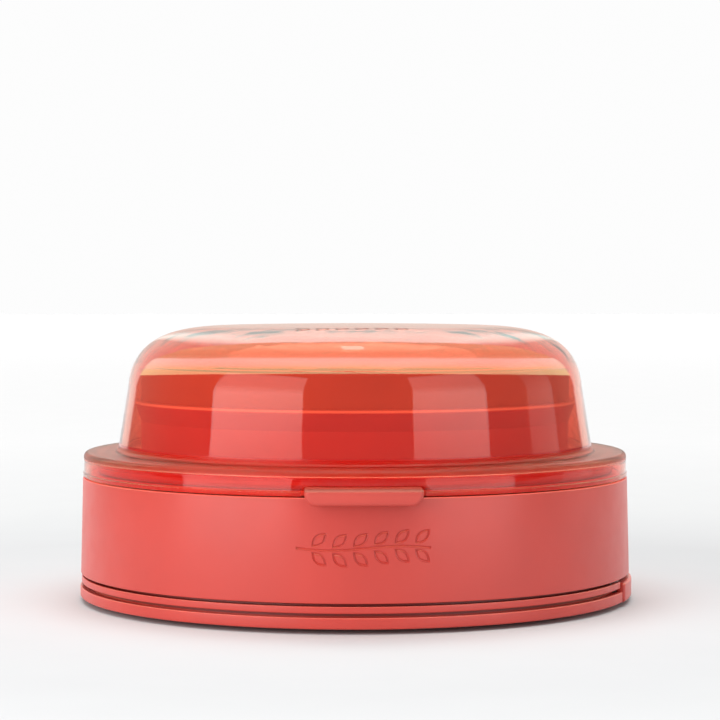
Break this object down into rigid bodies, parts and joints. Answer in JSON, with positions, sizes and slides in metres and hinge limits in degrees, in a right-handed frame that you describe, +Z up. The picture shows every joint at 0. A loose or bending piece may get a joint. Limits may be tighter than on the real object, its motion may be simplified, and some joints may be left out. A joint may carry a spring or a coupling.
{
  "type": "lunch box",
  "caption": "Round stacking lunch box with a clear dome lid, inner lid with pull tab, lift-out tray and bowl, and a cutlery drawer in the base.",
  "frame": {"origin": "centre of the non-slip pad's underside, on the round body's axis, at table height", "axes": "+Z up along the round body's axis, -Y towards the pull tab at the front, +X the way the cutlery drawer opens"},
  "size_m": [0.1886, 0.1946, 0.0934],
  "materials": {
    "matte_coral": "soft matte moulded",
    "clear_coral": "clear tinted, polished",
    "coral_silicone": "silicone",
    "grey_silicone": "silicone",
    "white_plastic": "satin moulded",
    "cream_plastic": "semi-gloss moulded",
    "steel": "satin"
  },
  "bodies": {
    "case": {"foot_pad": "grey_silicone", "base_cover": "matte_coral", "trim_band": "matte_coral", "outer_shell": "matte_coral", "base_screw_1": "steel", "base_screw_2": "steel", "base_screw_3": "steel", "base_screw_4": "steel", "drawer_rail_front": "white_plastic", "drawer_rail_rear": "white_plastic"},
    "bowl": {"food_bowl": "cream_plastic"},
    "bowl_partition": {"bowl_divider": "cream_plastic"},
    "plate": {"inner_lid": "matte_coral", "inner_lid_gasket": "coral_silicone"},
    "vent": {"vent_plug": "coral_silicone"},
    "tray": {"upper_tray": "matte_coral"},
    "tray_partition": {"tray_divider": "cream_plastic"},
    "dome": {"dome_lid": "clear_coral", "dome_gasket": "coral_silicone"},
    "drawer": {"drawer_tray": "white_plastic", "drawer_front": "matte_coral", "fork": "steel", "spoon": "steel"}
  },
  "joints": [
    {"name": "bowl_lift", "type": "slide", "parent": "case", "child": "bowl", "axis": [0, 0, 1], "range_m": [0, 0.05]},
    {"name": "bowl_divider_lift", "type": "slide", "parent": "bowl", "child": "bowl_partition", "axis": [0, 0, 1], "range_m": [0, 0.04]},
    {"name": "inner_lid_lift", "type": "slide", "parent": "bowl_partition", "child": "plate", "axis": [0, 0, 1], "range_m": [0, 0.04]},
    {"name": "vent_pull", "type": "slide", "parent": "plate", "child": "vent", "axis": [0, 0, 1], "range_m": [0, 0.0018]},
    {"name": "tray_lift", "type": "slide", "parent": "plate", "child": "tray", "axis": [0, 0, 1], "range_m": [0, 0.04]},
    {"name": "tray_divider_lift", "type": "slide", "parent": "tray", "child": "tray_partition", "axis": [0, 0, 1], "range_m": [0, 0.03]},
    {"name": "dome_lift", "type": "slide", "parent": "tray_partition", "child": "dome", "axis": [0, 0, 1], "range_m": [0, 0.07]},
    {"name": "drawer_slide", "type": "slide", "parent": "case", "child": "drawer", "axis": [1, 0, 0], "range_m": [0, 0.11]}
  ]
}
